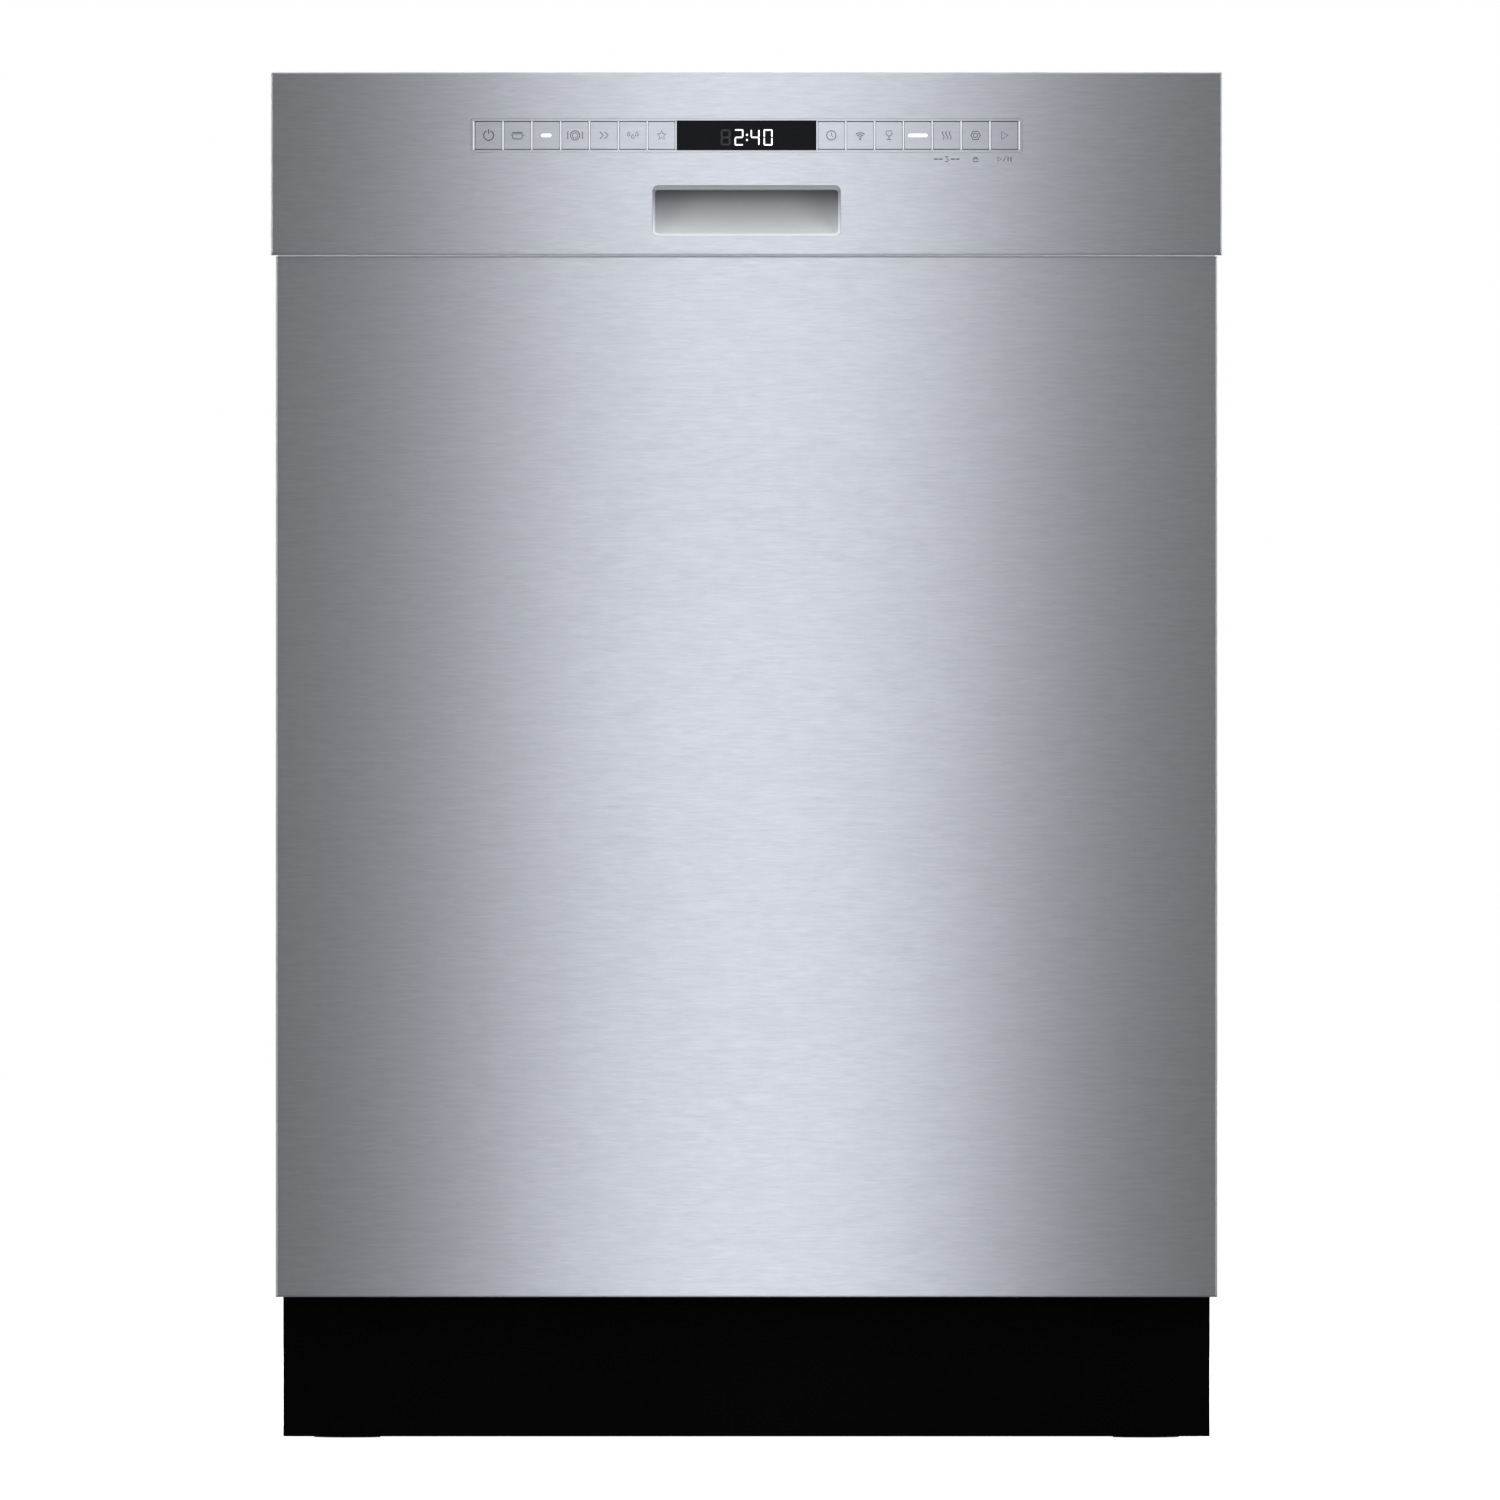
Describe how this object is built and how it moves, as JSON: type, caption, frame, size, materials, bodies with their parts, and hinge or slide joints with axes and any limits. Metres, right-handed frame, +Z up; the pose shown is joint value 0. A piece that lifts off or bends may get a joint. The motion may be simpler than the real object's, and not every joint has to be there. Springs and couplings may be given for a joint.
{
  "type": "built-in dishwasher",
  "caption": "Undercounter dishwasher with brushed steel drop-down door, key strip with display, recessed grip, black toe kick, steel tub, sliding racks and spray arms.",
  "frame": {"origin": "on the floor, under the middle of the machine's outline, feet screwed fully in", "axes": "+Z up, front of the door faces -Y, +X to the right seen from the front"},
  "size_m": [0.598, 0.603, 0.86],
  "materials": {
    "base_plastic": "satin moulded polypropylene",
    "tub_steel": "satin rolled stainless",
    "liner_steel": "satin rolled stainless",
    "door_steel": "fine horizontal brushed stainless",
    "seal_rubber": "matte extruded rubber",
    "blanket_felt": "bitumen-backed felt",
    "galvanised_steel": "galvanised sheet",
    "hinge_steel": "zinc-plated plate",
    "spring_steel": "oiled spring wire",
    "rail_steel": "rolled stainless channel",
    "filter_steel": "perforated stainless",
    "kick_black": "black satin enamel",
    "sump_plastic": "moulded polypropylene",
    "pump_plastic": "moulded polypropylene",
    "duct_plastic": "moulded polypropylene",
    "inlet_plastic": "translucent welded polypropylene",
    "valve_plastic": "moulded nylon",
    "foot_plastic": "glass-filled nylon",
    "filter_plastic": "moulded polypropylene",
    "arm_plastic": "moulded polypropylene",
    "rack_nylon": "nylon-coated wire",
    "wheel_plastic": "moulded acetal",
    "basket_plastic": "moulded polypropylene",
    "grip_plastic": "silver-grey moulded lining",
    "module_plastic": "moulded housing",
    "strip_plastic": "moulded frame with a fine brushed-steel foil",
    "key_plastic": "moulded key with a fine brushed-steel foil",
    "display_glass": "black gloss window",
    "dispenser_plastic": "moulded polypropylene",
    "cap_plastic": "moulded polypropylene",
    "latch_plastic": "moulded nylon"
  },
  "bodies": {
    "chassis": {"base_pan": "base_plastic", "circulation_pump": "pump_plastic", "door_seals": "seal_rubber", "door_springs": "spring_steel", "drain_pump": "pump_plastic", "feed_tube": "duct_plastic", "filter_plate": "filter_steel", "front_frame": "galvanised_steel", "hinge_brackets": "hinge_steel", "inlet_unit": "inlet_plastic", "inlet_valve": "valve_plastic", "insulation_blanket": "blanket_felt", "junction_box": "galvanised_steel", "rail_guides": "duct_plastic", "sump": "sump_plastic", "toe_kick": "kick_black", "tub_floor": "tub_steel", "tub_shell": "tub_steel", "worktop_brackets": "galvanised_steel"},
    "door": {"door_panel": "door_steel", "control_fascia": "door_steel", "grip_pocket": "grip_plastic", "control_module": "module_plastic", "key_strip": "strip_plastic", "display_window": "display_glass", "inner_door_liner": "liner_steel", "dispenser_body": "dispenser_plastic", "hinge_arms": "hinge_steel", "door_latch": "latch_plastic"},
    "detergent_lid": {"detergent_lid": "dispenser_plastic"},
    "rinse_aid_cap": {"rinse_aid_cap": "cap_plastic"},
    "lower_rack": {"lower_rack": "rack_nylon", "cutlery_basket": "basket_plastic"},
    "lower_front_wheels": {"lower_rack_front_wheels": "wheel_plastic"},
    "lower_rear_wheels": {"lower_rack_rear_wheels": "wheel_plastic"},
    "fold_tines": {"fold_down_tines": "rack_nylon"},
    "upper_rack": {"upper_rack": "rack_nylon", "upper_rack_pipe": "arm_plastic"},
    "upper_rails": {"upper_rack_rails": "rail_steel"},
    "upper_spray_arm": {"upper_spray_arm": "arm_plastic"},
    "lower_spray_arm": {"lower_spray_arm": "arm_plastic"},
    "filter_cylinder": {"filter_cylinder": "filter_plastic"},
    "spring_rods": {"spring_rods": "hinge_steel"},
    "foot_front_left": {"foot_front_left": "foot_plastic"},
    "foot_front_right": {"foot_front_right": "foot_plastic"},
    "foot_rear": {"foot_rear": "foot_plastic"},
    "key_power": {"key_power": "key_plastic"},
    "key_program_1": {"key_program_1": "key_plastic"},
    "key_program_2": {"key_program_2": "key_plastic"},
    "key_program_3": {"key_program_3": "key_plastic"},
    "key_program_4": {"key_program_4": "key_plastic"},
    "key_program_5": {"key_program_5": "key_plastic"},
    "key_program_6": {"key_program_6": "key_plastic"},
    "key_delay": {"key_delay": "key_plastic"},
    "key_option_1": {"key_option_1": "key_plastic"},
    "key_option_2": {"key_option_2": "key_plastic"},
    "key_option_3": {"key_option_3": "key_plastic"},
    "key_option_4": {"key_option_4": "key_plastic"},
    "key_option_5": {"key_option_5": "key_plastic"},
    "key_start": {"key_start": "key_plastic"}
  },
  "joints": [
    {"name": "door_hinge", "type": "hinge", "parent": "chassis", "child": "door", "pos_m": [0, -0.262, 0.118], "axis": [1, 0, 0], "range_deg": [0, 90]},
    {"name": "dispenser_lid_hinge", "type": "hinge", "parent": "door", "child": "detergent_lid", "pos_m": [-0.024, -0.2266, 0.437], "axis": [1, 0, 0], "range_deg": [0, 100]},
    {"name": "dispenser_rinse_cap_hinge", "type": "hinge", "parent": "door", "child": "rinse_aid_cap", "pos_m": [0.043, -0.2292, 0.41], "axis": [1, 0, 0], "range_deg": [0, 100]},
    {"name": "filter_twist", "type": "hinge", "parent": "chassis", "child": "filter_cylinder", "pos_m": [0.054, -0.022, 0.1], "axis": [0, 0, 1], "range_deg": [0, 80]},
    {"name": "fold_tines_hinge", "type": "hinge", "parent": "lower_rack", "child": "fold_tines", "pos_m": [0, 0.15, 0.19], "axis": [1, 0, 0], "range_deg": [-88, 0]},
    {"name": "lower_rack_slide", "type": "slide", "parent": "chassis", "child": "lower_rack", "axis": [0, -1, 0], "range_m": [0, 0.176]},
    {"name": "lower_spray_arm_spin", "type": "hinge", "parent": "chassis", "child": "lower_spray_arm", "pos_m": [0, 0.02, 0.155], "axis": [0, 0, 1], "continuous": true},
    {"name": "lower_wheels_front_spin", "type": "hinge", "parent": "lower_rack", "child": "lower_front_wheels", "pos_m": [0, -0.1, 0.1694], "axis": [1, 0, 0], "range_deg": [0, 530]},
    {"name": "lower_wheels_rear_spin", "type": "hinge", "parent": "lower_rack", "child": "lower_rear_wheels", "pos_m": [0, 0.2, 0.1694], "axis": [1, 0, 0], "range_deg": [0, 530]},
    {"name": "upper_rack_slide", "type": "slide", "parent": "upper_rails", "child": "upper_rack", "axis": [0, -1, 0], "range_m": [0, 0.226]},
    {"name": "upper_rails_slide", "type": "slide", "parent": "chassis", "child": "upper_rails", "axis": [0, -1, 0], "range_m": [0, 0.226]},
    {"name": "upper_spray_arm_spin", "type": "hinge", "parent": "upper_rack", "child": "upper_spray_arm", "pos_m": [0, 0.025, 0.48], "axis": [0, 0, 1], "continuous": true},
    {"name": "spring_rods_slide", "type": "slide", "parent": "chassis", "child": "spring_rods", "axis": [0, -1, 0], "range_m": [0, 0.05], "deforming": ["door_springs"]},
    {"name": "screw_foot_front_left", "type": "slide", "parent": "chassis", "child": "foot_front_left", "axis": [0, 0, -1], "range_m": [0, 0.025]},
    {"name": "screw_foot_front_right", "type": "slide", "parent": "chassis", "child": "foot_front_right", "axis": [0, 0, -1], "range_m": [0, 0.025]},
    {"name": "screw_foot_rear", "type": "slide", "parent": "chassis", "child": "foot_rear", "axis": [0, 0, -1], "range_m": [0, 0.025]},
    {"name": "key_power_press", "type": "slide", "parent": "door", "child": "key_power", "axis": [0, 1, 0], "range_m": [0, 0.001], "stiffness_N_per_m": 900, "springref_m": -0.0006},
    {"name": "key_program_1_press", "type": "slide", "parent": "door", "child": "key_program_1", "axis": [0, 1, 0], "range_m": [0, 0.001], "stiffness_N_per_m": 900, "springref_m": -0.0006},
    {"name": "key_program_2_press", "type": "slide", "parent": "door", "child": "key_program_2", "axis": [0, 1, 0], "range_m": [0, 0.001], "stiffness_N_per_m": 900, "springref_m": -0.0006},
    {"name": "key_program_3_press", "type": "slide", "parent": "door", "child": "key_program_3", "axis": [0, 1, 0], "range_m": [0, 0.001], "stiffness_N_per_m": 900, "springref_m": -0.0006},
    {"name": "key_program_4_press", "type": "slide", "parent": "door", "child": "key_program_4", "axis": [0, 1, 0], "range_m": [0, 0.001], "stiffness_N_per_m": 900, "springref_m": -0.0006},
    {"name": "key_program_5_press", "type": "slide", "parent": "door", "child": "key_program_5", "axis": [0, 1, 0], "range_m": [0, 0.001], "stiffness_N_per_m": 900, "springref_m": -0.0006},
    {"name": "key_program_6_press", "type": "slide", "parent": "door", "child": "key_program_6", "axis": [0, 1, 0], "range_m": [0, 0.001], "stiffness_N_per_m": 900, "springref_m": -0.0006},
    {"name": "key_delay_press", "type": "slide", "parent": "door", "child": "key_delay", "axis": [0, 1, 0], "range_m": [0, 0.001], "stiffness_N_per_m": 900, "springref_m": -0.0006},
    {"name": "key_option_1_press", "type": "slide", "parent": "door", "child": "key_option_1", "axis": [0, 1, 0], "range_m": [0, 0.001], "stiffness_N_per_m": 900, "springref_m": -0.0006},
    {"name": "key_option_2_press", "type": "slide", "parent": "door", "child": "key_option_2", "axis": [0, 1, 0], "range_m": [0, 0.001], "stiffness_N_per_m": 900, "springref_m": -0.0006},
    {"name": "key_option_3_press", "type": "slide", "parent": "door", "child": "key_option_3", "axis": [0, 1, 0], "range_m": [0, 0.001], "stiffness_N_per_m": 900, "springref_m": -0.0006},
    {"name": "key_option_4_press", "type": "slide", "parent": "door", "child": "key_option_4", "axis": [0, 1, 0], "range_m": [0, 0.001], "stiffness_N_per_m": 900, "springref_m": -0.0006},
    {"name": "key_option_5_press", "type": "slide", "parent": "door", "child": "key_option_5", "axis": [0, 1, 0], "range_m": [0, 0.001], "stiffness_N_per_m": 900, "springref_m": -0.0006},
    {"name": "key_start_press", "type": "slide", "parent": "door", "child": "key_start", "axis": [0, 1, 0], "range_m": [0, 0.001], "stiffness_N_per_m": 900, "springref_m": -0.0006}
  ],
  "couplings": [
    {"joint": "lower_rack_slide", "follows": "door_hinge", "m_per_rad": 0.1114},
    {"joint": "lower_wheels_front_spin", "follows": "door_hinge", "ratio": 5.863},
    {"joint": "lower_wheels_rear_spin", "follows": "door_hinge", "ratio": 5.863},
    {"joint": "upper_rails_slide", "follows": "door_hinge", "m_per_rad": 0.1432},
    {"joint": "upper_rack_slide", "follows": "door_hinge", "m_per_rad": 0.1432},
    {"joint": "spring_rods_slide", "follows": "door_hinge", "m_per_rad": 0.0315}
  ]
}
